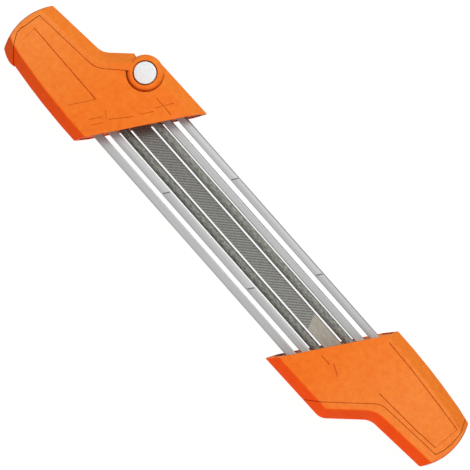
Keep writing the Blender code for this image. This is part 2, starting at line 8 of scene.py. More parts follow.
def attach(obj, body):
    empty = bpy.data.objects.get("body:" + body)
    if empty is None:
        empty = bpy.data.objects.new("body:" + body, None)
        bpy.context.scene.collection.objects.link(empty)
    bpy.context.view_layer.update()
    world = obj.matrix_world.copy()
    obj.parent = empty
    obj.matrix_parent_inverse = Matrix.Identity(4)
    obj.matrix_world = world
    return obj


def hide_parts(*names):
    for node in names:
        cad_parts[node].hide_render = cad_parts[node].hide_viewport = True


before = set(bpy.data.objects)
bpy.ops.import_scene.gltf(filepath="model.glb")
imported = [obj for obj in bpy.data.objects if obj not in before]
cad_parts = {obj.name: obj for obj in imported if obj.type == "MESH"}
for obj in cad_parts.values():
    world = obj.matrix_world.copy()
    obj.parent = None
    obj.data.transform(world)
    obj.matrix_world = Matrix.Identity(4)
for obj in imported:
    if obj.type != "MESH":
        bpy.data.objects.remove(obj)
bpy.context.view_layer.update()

# Camera: the sharpener lies flat and is photographed from straight above with a long lens.
# Its files run down to the right of the picture, so the camera is turned about the vertical.
CAMERA_TURN = math.radians(48.6)
CAMERA_SPOT = (-0.0010, -0.0001)
CAMERA_DISTANCE = 1.061
CAMERA_LENS = 133
CAMERA_SENSOR = 36
MID_HEIGHT = 0.014
camera_data = bpy.data.cameras.new("camera")
camera_data.lens = CAMERA_LENS
camera_data.sensor_width = CAMERA_SENSOR
camera = bpy.data.objects.new("camera", camera_data)
camera.location = (*CAMERA_SPOT, MID_HEIGHT + CAMERA_DISTANCE)
camera.rotation_euler = (0, 0, CAMERA_TURN)
bpy.context.scene.collection.objects.link(camera)
bpy.context.scene.camera = camera
bpy.context.scene.view_settings.view_transform = "Standard"


# Floor and light: a white sheet that keeps a pale shadow, a large soft lamp over the hinge side of
# the tool, a low red-orange one on the other side for the plastic turned to it, and a warm surround.
FLOOR_SIZE = 4.0
FLOOR_DROP = 0.0002
FLOOR_WHITE = 0.90
FLOOR_BOUNCE = (0.35, 0.13, 0.07)
FLOOR_GLOW = 1.12
SHADOW_SHARE = 0.13
SURROUND_LIGHT = 0.22
SURROUND_COLOUR = (1.0, 0.76, 0.66)


def calculate(tree, operation, first, second=None):
    """Output of a math node whose terms are numbers or the outputs of other nodes."""
    node = tree.nodes.new("ShaderNodeMath")
    node.operation = operation
    for socket, term in zip(node.inputs, (first, second)):
        if isinstance(term, (int, float)):
            socket.default_value = term
        elif term is not None:
            tree.links.new(term, socket)
    return node.outputs[0]


def blend(tree, factor, first, second, how="MIX"):
    """Output of a colour mix whose colours are plain or the outputs of other nodes."""
    node = tree.nodes.new("ShaderNodeMix")
    node.data_type = "RGBA"
    node.blend_type = how
    tree.links.new(factor, node.inputs["Factor"])
    for name, colour in (("A", first), ("B", second)):
        if isinstance(colour, tuple):
            node.inputs[name].default_value = (*colour, 1)
        else:
            tree.links.new(colour, node.inputs[name])
    return node.outputs["Result"]


def new_material(name):
    material = bpy.data.materials.new(name)
    material.use_nodes = True
    return material, material.node_tree, material.node_tree.nodes["Principled BSDF"]


def camera_glow(tree, shader, strength, share):
    """Makes a surface or world look white to the camera and in metal, and plain to everything else."""
    path = tree.nodes.new("ShaderNodeLightPath")
    seen = calculate(tree, "MAXIMUM", path.outputs["Is Camera Ray"], path.outputs["Is Glossy Ray"])
    glow = tree.nodes.new("ShaderNodeEmission")
    glow.inputs["Strength"].default_value = strength
    mix = tree.nodes.new("ShaderNodeMixShader")
    tree.links.new(calculate(tree, "MULTIPLY", seen, 1 - share), mix.inputs[0])
    tree.links.new(shader, mix.inputs[1])
    tree.links.new(glow.outputs[0], mix.inputs[2])
    return mix.outputs[0]


def floor_material():
    """White to the camera, with the warm bounce of the surround to everything else."""
    material, tree, shader = new_material("white sheet")
    path = tree.nodes.new("ShaderNodeLightPath")
    colour = blend(tree, path.outputs["Is Camera Ray"], FLOOR_BOUNCE, (FLOOR_WHITE,) * 3)
    tree.links.new(colour, shader.inputs["Base Color"])
    shader.inputs["Roughness"].default_value = 0.9
    shader.inputs["Specular IOR Level"].default_value = 0.0
    surface = camera_glow(tree, shader.outputs[0], FLOOR_GLOW, SHADOW_SHARE)
    tree.links.new(surface, tree.nodes["Material Output"].inputs["Surface"])
    return material


def area_lamp(name, spot, size, power, colour):
    lamp = bpy.data.lights.new(name, "AREA")
    lamp.size = size
    lamp.energy = power
    lamp.color = colour
    obj = bpy.data.objects.new(name, lamp)
    obj.location = spot
    obj.rotation_euler = (-Vector(spot)).to_track_quat("-Z", "Y").to_euler()
    bpy.context.scene.collection.objects.link(obj)
    return obj


sheet = bmesh.new()
bmesh.ops.create_grid(sheet, x_segments=1, y_segments=1, size=FLOOR_SIZE / 2)
floor_mesh = bpy.data.meshes.new("floor")
sheet.to_mesh(floor_mesh)
sheet.free()
floor = bpy.data.objects.new("floor", floor_mesh)
floor.location = (0, 0, -FLOOR_DROP)
floor_mesh.materials.append(floor_material())
bpy.context.scene.collection.objects.link(floor)
area_lamp("key_lamp", spot=(-0.16, 0.72, 1.00), size=0.5, power=15.5, colour=(0.97, 1.0, 1.0))
fill = area_lamp("fill_lamp", spot=(0.36, -0.92, 0.35), size=0.7, power=9.7, colour=(1.0, 0.21, 0.10))
fill.visible_glossy = False
surround = bpy.data.worlds.new("surround")
surround.use_nodes = True
plain = surround.node_tree.nodes["Background"]
plain.inputs["Color"].default_value = (*SURROUND_COLOUR, 1)
plain.inputs["Strength"].default_value = SURROUND_LIGHT
surround.node_tree.links.new(
    camera_glow(surround.node_tree, plain.outputs[0], 1.0, 0.0),
    surround.node_tree.nodes["World Output"].inputs["Surface"],
)
bpy.context.scene.world = surround


# Hinged handle, at the pivot end: a glass-filled nylon moulding, hollow, with flat faces, slanted
# sides and a narrow upright band round the middle. Its mouth is cut at the 30 degree filing angle,
# and its upper face has a framed panel and plain engraved signs beside the mouth.
FILING_ANGLE = math.radians(30)
MOUTH_ON_AXIS = 0.0886
BAND_HALF_HEIGHT = 0.0035
SIDE_SLOPE = 0.0068
END_SLOPE = 0.0022
EDGE_ROUNDING = 0.0009
ROUNDING_STEPS = 6
ROUND_SIDES = 96
SHARP_ANGLE = math.radians(32)
WALL = 0.0026
INNER_BAND_INSET = 0.0027
INNER_FACE_INSET = 0.0080
INNER_END_INSET = 0.0023
NOSE_TOP = (-0.0500, 0.0362)
SHOULDER = (-0.1170, 0.0351)
NECK = (-0.1380, 0.0129)
HEEL_TOP = (-0.1792, 0.0091)
HEEL_BOTTOM = (-0.1792, -0.0307)
BACK = ((-0.1678, -0.0326), (-0.1507, -0.0343), (-0.1390, -0.0351), (-0.1220, -0.0357))
NOSE_BOTTOM = (-0.0900, -0.0357)
END_CENTRE = (-0.1481, -0.0107)
END_STEPS = 20
CORNER_STEPS = 12
NECK_RADIUS = 0.0114
HEEL_RADIUS = 0.0012
SHOULDER_RADIUS_A = 0.0113
PIVOT = (-0.1103, 0.0239)
EYE_RADIUS = 0.0113
EYE_CLEARANCE = 0.0008
EYE_STEP = 0.0010
EYE_THICKNESS = 0.0060
SHOULDER_DROP = 0.0005
GAP = 0.0003
PIN_RADIUS = 0.0040
LUG_HEIGHT = MID_HEIGHT - EYE_THICKNESS - GAP
WEB_FACE = MID_HEIGHT - WALL / 2
LUG_WEB = (
    (-0.1120, 0.0145), (-0.1020, 0.0145), (-0.0915, 0.0325), (-0.0915, 0.0345), (-0.1120, 0.0345),
)
CAP_LINE = ((-0.1783, -0.0010), (-0.1322, 0.0033), (-0.1190, 0.0161))
CAP_LINE_RADIUS = 0.0150
CAP_END = ((-0.1789, -0.0057), (-0.1792, -0.0102), (-0.1799, -0.0145))
CAP_SURROUND = ((-0.2100, 0.0500), (-0.2100, -0.0500), (-0.1700, -0.0500))
BODY_SIDE = (PIVOT[0], 0.0500)
NECK_SIDE = (-0.1494, 0.0326)
HOOK_RADIUS = 0.0809
HOOK_ANGLES = (math.radians(211.0), math.radians(226.5))
HOOK_STEPS = 16
HOOK_BACK = ((-0.1748, -0.0327), (-0.1712, -0.0336), (-0.1690, -0.0336), (-0.1660, -0.0330))
SEAM = 0.0004
LEDGE_WIDTH = 0.0024
LEDGE_TOP = 0.0006
LEDGE_THICKNESS = 0.0015
LEDGE_ROOM = 0.0002
LEDGE_SETBACK = 0.0010
POCKET_OPENING = 0.0016
PANEL_DEPTH = 0.0003
PANEL_A = ((-0.1745, -0.0084), (-0.1178, -0.0090), (-0.1261, -0.0237), (-0.1739, -0.0202))
PANEL_LINE_WIDTH = 0.0005
PANEL_LINE_DEPTH = 0.0007
SIGN_WIDTH = 0.0005
SIGN_DEPTH = 0.0005
SIGNS_A = (
    ((-0.0950, 0.0012), (-0.1038, -0.0115)),
    ((-0.0942, 0.0190), (-0.0805, 0.0188)),
    ((-0.0850, 0.0247), (-0.0903, 0.0143)),
    ((-0.0893, 0.0123), (-0.0932, 0.0054)),
    ((-0.1090, -0.0091), (-0.1049, -0.0120)),
    ((-0.1077, -0.0133), (-0.1113, -0.0203)),
    ((-0.1046, -0.0150), (-0.1081, -0.0219)),
)
BEYOND = 0.03
ORANGE = (0.755, 0.189, 0.016)
ORANGE_SHADES = ((0.86, 0.58, 0.40), (1.08, 1.42, 2.10))
# Painted sheen: the flat faces turn paler and whiter between these distances from the middle, towards
# the ends of both handles.
GRIP_MIDDLE = -0.015
GRIP_START = 0.105
GRIP_END = 0.160
GRIP_SHEEN_TINT = (1.03, 1.29, 2.2)
FLAT_FACE_LIMITS = (0.90, 0.99)


def offset_edges(points, insets):
    """Moves each edge of a counterclockwise outline inwards by its own distance."""
    moved = []
    for (x, y), (next_x, next_y), inset in zip(points, points[1:] + points[:1], insets):
        along = Vector((next_x - x, next_y - y)).normalized()
        moved.append((Vector((x, y)) + Vector((-along.y, along.x)) * inset, along))
    corners = []
    for index, (start, along) in enumerate(moved):
        before, before_along = moved[index - 1]
        corner = before + before_along * ((start - before).cross(along) / before_along.cross(along))
        corners.append((corner.x, corner.y))
    return corners


def round_corners(points, radii, steps=CORNER_STEPS):
    """Replaces the corners that have a radius by arcs."""
    rounded = []
    for index, (x, y) in enumerate(points):
        radius = radii.get(index)
        if not radius:
            rounded.append((x, y))
            continue
        corner = Vector((x, y))
        back = (Vector(points[index - 1]) - corner).normalized()
        ahead = (Vector(points[(index + 1) % len(points)]) - corner).normalized()
        half_angle = back.angle(ahead) / 2
        centre = corner + (back + ahead).normalized() * radius / math.sin(half_angle)
        start = corner + back * radius / math.tan(half_angle) - centre
        end = corner + ahead * radius / math.tan(half_angle) - centre
        first = math.atan2(start.y, start.x)
        turn = (math.atan2(end.y, end.x) - first + math.pi) % math.tau - math.pi
        for step in range(steps + 1):
            angle = first + turn * step / steps
            rounded.append((centre.x + radius * math.cos(angle), centre.y + radius * math.sin(angle)))
    return rounded


def arc(centre, radius, first, last, steps):
    angles = [first + (last - first) * step / steps for step in range(steps + 1)]
    return [(centre[0] + radius * math.cos(a), centre[1] + radius * math.sin(a)) for a in angles]


def meet_circle(start, through, centre, radius):
    """Where the line from one point through another leaves a circle."""
    along = (Vector(through) - Vector(start)).normalized()
    towards = Vector(centre) - Vector(start)
    half_chord = math.sqrt(radius**2 - towards.cross(along) ** 2)
    return Vector(start) + along * (towards.dot(along) + half_chord)


def handle_outline(side_inset, end_inset, shoulder_radius, back=BACK):
    """Outline of a handle, running on past its mouth, with its sides and its round end moved in."""
    corners = [NOSE_TOP, SHOULDER, NECK, HEEL_TOP, HEEL_BOTTOM, *back, NOSE_BOTTOM]
    insets = [side_inset] * 3 + [end_inset] + [side_inset] * (len(back) + 1) + [0.0]
    moved = offset_edges(corners, insets)
    end_radius = math.dist(HEEL_TOP, END_CENTRE) - end_inset
    top = meet_circle(moved[2], moved[3], END_CENTRE, end_radius)
    bottom = meet_circle(moved[5], moved[4], END_CENTRE, end_radius)
    first = math.atan2(top.y - END_CENTRE[1], top.x - END_CENTRE[0]) % math.tau
    last = math.atan2(bottom.y - END_CENTRE[1], bottom.x - END_CENTRE[0]) % math.tau
    end = arc(END_CENTRE, end_radius, first, last, END_STEPS)
    radii = {
        1: max(shoulder_radius - side_inset, HEEL_RADIUS),
        2: NECK_RADIUS + side_inset,
        3: HEEL_RADIUS,
        3 + END_STEPS: HEEL_RADIUS,
    }
    return round_corners([*moved[:3], *end, *moved[5:]], radii)


def loft(levels):
    """Closed body through outlines of the same number of points at rising heights."""
    bm = bmesh.new()
    rings = [[bm.verts.new((x, y, z)) for x, y in outline] for z, outline in levels]
    for lower, upper in zip(rings, rings[1:]):
        for index in range(len(lower)):
            bm.faces.new((lower[index - 1], lower[index], upper[index], upper[index - 1]))
    bm.faces.new(reversed(rings[0]))
    bm.faces.new(rings[-1])
    return bm


def trim(bm, point, normal):
    """Removes what lies on the normal's side of a plane, and closes the cut."""
    geometry = bm.verts[:] + bm.edges[:] + bm.faces[:]
    bmesh.ops.bisect_plane(bm, geom=geometry, plane_co=point, plane_no=normal, clear_outer=True)
    bmesh.ops.holes_fill(bm, edges=[edge for edge in bm.edges if edge.is_boundary])


def outer_form(shoulder_radius, back=BACK):
    """The full outside of a handle, with rounded rims, cut off at its mouth."""
    slope_angle = math.atan2(MID_HEIGHT - BAND_HALF_HEIGHT, SIDE_SLOPE)
    slope = Vector((math.cos(slope_angle), math.sin(slope_angle)))
    band_rim, face_rim = Vector((0.0, BAND_HALF_HEIGHT)), Vector((SIDE_SLOPE, MID_HEIGHT))
    half = []
    for rim, before, after in (
        (band_rim, Vector((0, -1)), slope),
        (face_rim, -slope, Vector((1, 0))),
    ):
        for step in range(ROUNDING_STEPS + 1):
            share = step / ROUNDING_STEPS
            start, end = rim + before * EDGE_ROUNDING, rim + after * EDGE_ROUNDING
            half.append(start * (1 - share) ** 2 + rim * 2 * share * (1 - share) + end * share**2)
    levels = []
    for height, inset in [(-p.y, p.x) for p in reversed(half)] + [(p.y, p.x) for p in half]:
        end_inset = inset / SIDE_SLOPE * END_SLOPE
        levels.append((height, handle_outline(inset, end_inset, shoulder_radius, back)))
    bm = loft(levels)
    out_of_mouth = Vector((math.cos(FILING_ANGLE), -math.sin(FILING_ANGLE), 0))
    trim(bm, Vector((-MOUTH_ON_AXIS, 0, 0)), out_of_mouth)
    return bm


def hollow_form(shoulder_radius):
    """The space inside a handle, running out of its mouth."""
    face = MID_HEIGHT - WALL
    levels = []
    for height, side in (
        (-face, INNER_FACE_INSET),
        (-BAND_HALF_HEIGHT, INNER_BAND_INSET),
        (BAND_HALF_HEIGHT, INNER_BAND_INSET),
        (face, INNER_FACE_INSET),
    ):
        levels.append((height, handle_outline(side, INNER_END_INSET, shoulder_radius)))
    return loft(levels)


def swept(corners, move):
    """Closed form between a flat face of these corners and the same face after a straight move."""
    bm = bmesh.new()
    face = bm.faces.new([bm.verts.new(corner) for corner in corners])
    run = bmesh.ops.extrude_face_region(bm, geom=[face])["geom"]
    far = [v for v in run if isinstance(v, bmesh.types.BMVert)]
    bmesh.ops.translate(bm, vec=move, verts=far)
    return bm


def prism(outline, low, high):
    """Upright prism over a flat outline."""
    return swept([(x, y, low) for x, y in outline], (0, 0, high - low))


def cylinder(radius, low, high, x, y, segments=ROUND_SIDES):
    """Upright cylinder at one place in plan."""
    bm = bmesh.new()
    bmesh.ops.create_cone(
        bm, cap_ends=True, segments=segments, radius1=radius, radius2=radius, depth=high - low,
        matrix=Matrix.Translation((x, y, (low + high) / 2)),
    )
    return bm


def piece_from(name, bm):
    """Turns a bmesh drawn about the middle plane into an object at its real height."""
    bmesh.ops.recalc_face_normals(bm, faces=bm.faces)
    bmesh.ops.translate(bm, vec=(0, 0, MID_HEIGHT), verts=bm.verts)
    mesh = bpy.data.meshes.new(name)
    bm.to_mesh(mesh)
    bm.free()
    obj = bpy.data.objects.new(name, mesh)
    bpy.context.scene.collection.objects.link(obj)
    return obj


def carve(obj, steps):
    """Joins or cuts the piece by each shape in turn, and keeps the result in its mesh."""
    shapes = []
    for operation, bm in steps:
        shape = piece_from("shape", bm)
        modifier = obj.modifiers.new("carve", "BOOLEAN")
        modifier.operation = operation
        modifier.solver = "EXACT"
        modifier.object = shape
        shapes.append(shape)
    graph = bpy.context.evaluated_depsgraph_get()
    mesh = bpy.data.meshes.new_from_object(obj.evaluated_get(graph))
    obj.modifiers.clear()
    obj.data = mesh
    for shape in shapes:
        bpy.data.objects.remove(shape, do_unlink=True)
    return obj


def finish_piece(obj, material, body, nodes, sharp=SHARP_ANGLE):
    """Shades the piece, gives it its material, and puts it in the place of its CAD nodes."""
    obj.data.materials.clear()
    obj.data.materials.append(material)
    obj.data.shade_smooth()
    obj.data.set_sharp_from_angle(angle=sharp)
    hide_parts(*nodes)
    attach(obj, body)


cap_line = round_corners(CAP_LINE, {1: CAP_LINE_RADIUS})


def cap_region(spare, side):
    """Plan of the cap up to a line from the pivot to one side; a positive spare makes it smaller."""
    hook = arc(PIVOT, HOOK_RADIUS, *HOOK_ANGLES, HOOK_STEPS)
    points = [side, *CAP_SURROUND, *hook[::-1], *CAP_END[::-1], *cap_line, PIVOT]
    moved = len(points) - len(CAP_SURROUND) - 1
    return offset_edges(points, [0.0] * len(CAP_SURROUND) + [spare] * moved + [0.0])


def noise(tree, place, scale, detail=2.0, roughness=0.5):
    """Output of a noise texture over the given coordinates."""
    node = tree.nodes.new("ShaderNodeTexNoise")
    node.inputs["Scale"].default_value = scale
    node.inputs["Detail"].default_value = detail
    node.inputs["Roughness"].default_value = roughness
    tree.links.new(place, node.inputs["Vector"])
    return node.outputs["Fac"]


def spread(tree, value, start=0.0, end=1.0, low=0.0, high=1.0):
    """Output that goes from low to high while the value goes from start to end."""
    node = tree.nodes.new("ShaderNodeMapRange")
    for name, level in (("From Min", start), ("From Max", end), ("To Min", low), ("To Max", high)):
        if isinstance(level, (int, float)):
            node.inputs[name].default_value = level
        else:
            tree.links.new(level, node.inputs[name])
    tree.links.new(value, node.inputs["Value"])
    return node.outputs["Result"]


def raise_grain(tree, shader, height, strength, distance):
    """Lets an output stand out as fine relief."""
    node = tree.nodes.new("ShaderNodeBump")
    node.inputs["Strength"].default_value = strength
    node.inputs["Distance"].default_value = distance
    tree.links.new(height, node.inputs["Height"])
    tree.links.new(node.outputs["Normal"], shader.inputs["Normal"])


def orange_nylon():
    """Moulded orange nylon, mottled and finely grained, with a painted sheen that makes the flat faces
    paler and whiter towards the outer ends of both handles.
    """
    material, tree, shader = new_material("orange nylon")
    place = tree.nodes.new("ShaderNodeTexCoord").outputs
    mottle = noise(tree, place["Object"], scale=260, detail=5, roughness=0.8)
    dark, light = (tuple(a * b for a, b in zip(ORANGE, shade)) for shade in ORANGE_SHADES)
    colour = blend(tree, mottle, dark, light)
    along, direction = (tree.nodes.new("ShaderNodeSeparateXYZ") for _ in range(2))
    tree.links.new(place["Object"], along.inputs[0])
    tree.links.new(place["Normal"], direction.inputs[0])
    # Painted sheen: flat faces towards the handles' ends are tinted paler and whiter.
    flat_face = spread(tree, calculate(tree, "ABSOLUTE", direction.outputs["Z"]), *FLAT_FACE_LIMITS)
    from_middle = calculate(tree, "SUBTRACT", along.outputs["X"], GRIP_MIDDLE)
    grip_sheen = spread(tree, calculate(tree, "ABSOLUTE", from_middle), GRIP_START, GRIP_END, high=flat_face)
    with_painted_sheen = blend(tree, grip_sheen, colour, GRIP_SHEEN_TINT, how="MULTIPLY")
    tree.links.new(with_painted_sheen, shader.inputs["Base Color"])
    raise_grain(tree, shader, noise(tree, place["Object"], scale=1500), strength=0.35, distance=0.0002)
    tree.links.new(spread(tree, mottle, low=0.42, high=0.56), shader.inputs["Roughness"])
    shader.inputs["Specular IOR Level"].default_value = 0.06
    shader.inputs["Subsurface Weight"].default_value = 0.08
    shader.inputs["Subsurface Radius"].default_value = (1.0, 0.3, 0.1)
    shader.inputs["Subsurface Scale"].default_value = 0.0006
    return material


def strip(points, width):
    """Outline of a line of even width along a chain of points."""
    sides = ([], [])
    for index, (x, y) in enumerate(points):
        before = Vector(points[max(index - 1, 0)])
        after = Vector(points[min(index + 1, len(points) - 1)])
        along = (after - before).normalized()
        across = Vector((-along.y, along.x)) * width / 2
        sides[0].append((x + across.x, y + across.y))
        sides[1].append((x - across.x, y - across.y))
    return sides[0] + sides[1][::-1]


def engraving(points, width, depth):
    """Cutter for one engraved line in the upper face."""
    return prism(strip(points, width), MID_HEIGHT - depth, BEYOND)


def edges_of(points):
    """The sides of an outline, each as a line that runs on a little at both ends."""
    lines = []
    for start, end in zip(points, points[1:] + points[:1]):
        along = (Vector(end) - Vector(start)).normalized() * PANEL_LINE_WIDTH / 3
        lines.append((Vector(start) - along, Vector(end) + along))
    return lines


def within(space, bm):
    """The share of a form that lies inside another, drawn about the middle plane again."""
    obj = carve(piece_from("share", bm), [("INTERSECT", space)])
    result = bmesh.new()
    result.from_mesh(obj.data)
    bmesh.ops.translate(result, vec=(0, 0, -MID_HEIGHT), verts=result.verts)
    bpy.data.objects.remove(obj, do_unlink=True)
    return result


def set_back(line):
    """The line with both ends drawn in, so that a ledge stops short of the ends of its pocket."""
    start, after, before, end = (Vector(line[index]) for index in (0, 1, -2, -1))
    start += (after - start).normalized() * LEDGE_SETBACK
    end += (before - end).normalized() * LEDGE_SETBACK
    return [start, *line[1:-1], end]


def ledges(line, shoulder_radius, room=0.0):
    """Ledges under a seam of both faces, over the hollow, or with room the pockets that take them."""
    hollow = handle_outline(INNER_FACE_INSET - room, INNER_END_INSET - room, shoulder_radius)
    plan = strip(line, LEDGE_WIDTH + 2 * room)
    top = MID_HEIGHT - LEDGE_TOP + room
    low = top - LEDGE_THICKNESS - (POCKET_OPENING if room else 0.0)
    return [
        within(prism(hollow, -BEYOND, BEYOND), prism(plan, bottom, face))
        for bottom, face in ((low, top), (-top, -low))
    ]


nylon_orange = orange_nylon()
# The panel's lower long side is a plain step without a line.
panel_top, panel_foot, _, panel_end = edges_of(PANEL_A)
framed_sides = (panel_top, panel_foot, panel_end)
shelf = LUG_HEIGHT - SHOULDER_DROP
lug_shoulder = cylinder(EYE_RADIUS + EYE_CLEARANCE, -shelf, shelf, *PIVOT)
handle_a = piece_from("hinged_handle", outer_form(SHOULDER_RADIUS_A))
carve(handle_a, [
    ("DIFFERENCE", hollow_form(SHOULDER_RADIUS_A)),
    ("UNION", within(outer_form(SHOULDER_RADIUS_A), lug_shoulder)),
    ("DIFFERENCE", prism(cap_region(-SEAM / 2, BODY_SIDE), -BEYOND, BEYOND)),
    *(("UNION", ledge) for ledge in ledges(set_back(cap_line), SHOULDER_RADIUS_A)),
    ("UNION", within(outer_form(SHOULDER_RADIUS_A), prism(LUG_WEB, -WEB_FACE, WEB_FACE))),
    ("UNION", cylinder(EYE_RADIUS, -LUG_HEIGHT, LUG_HEIGHT, *PIVOT)),
    ("DIFFERENCE", cylinder(EYE_RADIUS + GAP, LUG_HEIGHT, BEYOND, *PIVOT)),
    ("DIFFERENCE", cylinder(EYE_RADIUS + GAP, -BEYOND, -LUG_HEIGHT, *PIVOT)),
    ("DIFFERENCE", cylinder(EYE_RADIUS + EYE_CLEARANCE, MID_HEIGHT - EYE_STEP, BEYOND, *PIVOT)),
    ("DIFFERENCE", cylinder(EYE_RADIUS + EYE_CLEARANCE, -BEYOND, EYE_STEP - MID_HEIGHT, *PIVOT)),
    ("DIFFERENCE", cylinder(PIN_RADIUS + GAP, -BEYOND, BEYOND, *PIVOT)),
    ("DIFFERENCE", prism(PANEL_A, MID_HEIGHT - PANEL_DEPTH, BEYOND)),
    *(("DIFFERENCE", engraving(line, PANEL_LINE_WIDTH, PANEL_LINE_DEPTH)) for line in framed_sides),
    *(("DIFFERENCE", engraving(line, SIGN_WIDTH, SIGN_DEPTH)) for line in SIGNS_A),
])
finish_piece(handle_a, nylon_orange, "holder", ["handle_a_body"])


# Hinged cap: the side and the end of the same handle, moulded in the same nylon. Two eyes hold it
# to the pivot pin, its rib presses the rubber pad on the files, and its hook snaps over the heel.
EYE_ROUNDING = 0.0032
RIM_STEPS = 6
SAME_HEIGHT = 1e-6
PIN_HEAD_THICKNESS = 0.0026
PIN_HEAD_RECESS = 0.0002
COUNTERBORE_RADIUS = 0.0076
FILE_LENGTH = 0.2400
FILE_INSERT = 0.0120
PAD_THINNEST = 0.0055
PAD_HALF_WIDTH = 0.0120
RIB_THICKNESS = 0.0030
RIB_HALF_HEIGHT = 0.0055
RIB_TOP = 0.0112


def round_edges(bm, height, width):
    """Rounds the outer rim of a disc at one height."""
    rim = [e for e in bm.edges if all(abs(v.co.z - height) < SAME_HEIGHT for v in e.verts)]
    bmesh.ops.bevel(bm, geom=rim, offset=width, segments=RIM_STEPS, profile=0.5, affect="EDGES")
    return bm


def rib_outline():
    """Slanted rib behind the pad, from its low end up into the side wall of the cap."""
    back = MOUTH_ON_AXIS + FILE_INSERT - FILE_LENGTH - PAD_THINNEST - GAP
    low, high = -PAD_HALF_WIDTH, RIB_TOP
    near_low, near_high = (back + y * math.tan(FILING_ANGLE) for y in (low, high))
    far_low, far_high = near_low - RIB_THICKNESS, near_high - RIB_THICKNESS
    return [(near_low, low), (near_high, high), (far_high, high), (far_low, low)]


head_floor = MID_HEIGHT - PIN_HEAD_RECESS - PIN_HEAD_THICKNESS - GAP
eye_floor = MID_HEIGHT - EYE_THICKNESS
upper_eye = cylinder(EYE_RADIUS, eye_floor, MID_HEIGHT, *PIVOT)
lower_eye = cylinder(EYE_RADIUS, -MID_HEIGHT, -eye_floor, *PIVOT)
rib = prism(rib_outline(), -RIB_HALF_HEIGHT, RIB_HALF_HEIGHT)
cap = piece_from("swinging_cap", outer_form(SHOULDER_RADIUS_A, HOOK_BACK))
carve(cap, [
    ("DIFFERENCE", hollow_form(SHOULDER_RADIUS_A)),
    ("INTERSECT", prism(cap_region(SEAM / 2, NECK_SIDE), -BEYOND, BEYOND)),
    *(("DIFFERENCE", pocket) for pocket in ledges(cap_line, SHOULDER_RADIUS_A, LEDGE_ROOM)),
    ("DIFFERENCE", cylinder(EYE_RADIUS + EYE_CLEARANCE, -eye_floor, eye_floor, *PIVOT)),
    ("UNION", round_edges(upper_eye, MID_HEIGHT, EYE_ROUNDING)),
    ("UNION", round_edges(lower_eye, -MID_HEIGHT, EYE_ROUNDING)),
    ("DIFFERENCE", cylinder(PIN_RADIUS + GAP, -BEYOND, BEYOND, *PIVOT)),
    ("DIFFERENCE", cylinder(COUNTERBORE_RADIUS, head_floor, BEYOND, *PIVOT)),
    ("DIFFERENCE", cylinder(COUNTERBORE_RADIUS, -BEYOND, -head_floor, *PIVOT)),
    ("UNION", within(outer_form(SHOULDER_RADIUS_A), rib)),
])
finish_piece(cap, nylon_orange, "cap", ["hinged_cap"])


# Fixed handle: the same moulding turned half round, in two pieces. Its cover is screwless and
# closes the side and the end, and a shallow groove frames the bare grip panel on its face.
SHOULDER_RADIUS_B = 0.0089
COVER_LINE = ((-0.1784, -0.0031), (-0.1339, 0.0013), (-0.1026, 0.0342), (-0.0947, 0.0423))
COVER_LINE_RADIUS = 0.0120
COVER_END = ((-0.1798, -0.0084), (-0.1800, -0.0144), (-0.1790, -0.0217), (-0.1763, -0.0291))
COVER_SURROUND = ((-0.0947, 0.0600), (-0.2100, 0.0600), (-0.2100, -0.0500), (-0.1722, -0.0500))
PANEL_B = (
    (-0.1090, -0.0267),
    (-0.1313, -0.0260),
    (-0.1590, -0.0241),
    (-0.1757, -0.0227),
    (-0.1752, -0.0056),
    (-0.1586, -0.0038),
    (-0.1285, -0.0019),
)
GROOVE_WIDTH = 0.0006
GROOVE_DEPTH = 0.0006
SIGNS_B = (
    ((-0.0882, 0.0092), (-0.0955, 0.0089)),
    ((-0.0964, 0.0068), (-0.1042, 0.0104)),
)


def turned_half(points):
    """The same outline for the other handle: half a turn about the vertical."""
    return [(-x, -y) for x, y in points]


def turn_half(bm):
    bmesh.ops.rotate(bm, cent=(0, 0, 0), matrix=Matrix.Rotation(math.pi, 3, "Z"), verts=bm.verts)
    return bm


cover_line = round_corners(COVER_LINE, {1: COVER_LINE_RADIUS})


def cover_region(spare):
    """Plan of the cover; a positive spare makes it smaller."""
    points = [*COVER_SURROUND, *COVER_END[::-1], *cover_line]
    moved = len(points) - len(COVER_SURROUND) + 1
    return turned_half(offset_edges(points, [0.0] * (len(COVER_SURROUND) - 1) + [spare] * moved))


handle_b = piece_from("fixed_handle", turn_half(outer_form(SHOULDER_RADIUS_B)))
carve(handle_b, [
    ("DIFFERENCE", turn_half(hollow_form(SHOULDER_RADIUS_B))),
    ("DIFFERENCE", prism(cover_region(-SEAM / 2), -BEYOND, BEYOND)),
    *(("UNION", turn_half(ledge)) for ledge in ledges(set_back(cover_line), SHOULDER_RADIUS_B)),
    ("DIFFERENCE", engraving(turned_half(PANEL_B), GROOVE_WIDTH, GROOVE_DEPTH)),
    *(("DIFFERENCE", engraving(turned_half(line), SIGN_WIDTH, SIGN_DEPTH)) for line in SIGNS_B),
])
finish_piece(handle_b, nylon_orange, "holder", ["handle_b_body"])
cover_pockets = ledges(cover_line, SHOULDER_RADIUS_B, LEDGE_ROOM)
cover = piece_from("handle_cover", turn_half(outer_form(SHOULDER_RADIUS_B)))
carve(cover, [
    ("DIFFERENCE", turn_half(hollow_form(SHOULDER_RADIUS_B))),
    ("INTERSECT", prism(cover_region(SEAM / 2), -BEYOND, BEYOND)),
    *(("DIFFERENCE", turn_half(pocket)) for pocket in cover_pockets),
])
finish_piece(cover, nylon_orange, "holder", ["handle_b_cover"])


# Pivot pin: two moulded halves of white nylon, pressed into each other through the cap's eyes and
# the body between them. Their flat heads sit sunk in the eyes.
PIN_HEAD_RADIUS = 0.00685
SPIGOT_RADIUS = 0.0020
SHANK_ROOT = 0.0010
HEAD_ROUNDING = 0.0005
WHITE_TONES = ((0.57, 0.68, 0.71), (0.75, 0.85, 0.88))


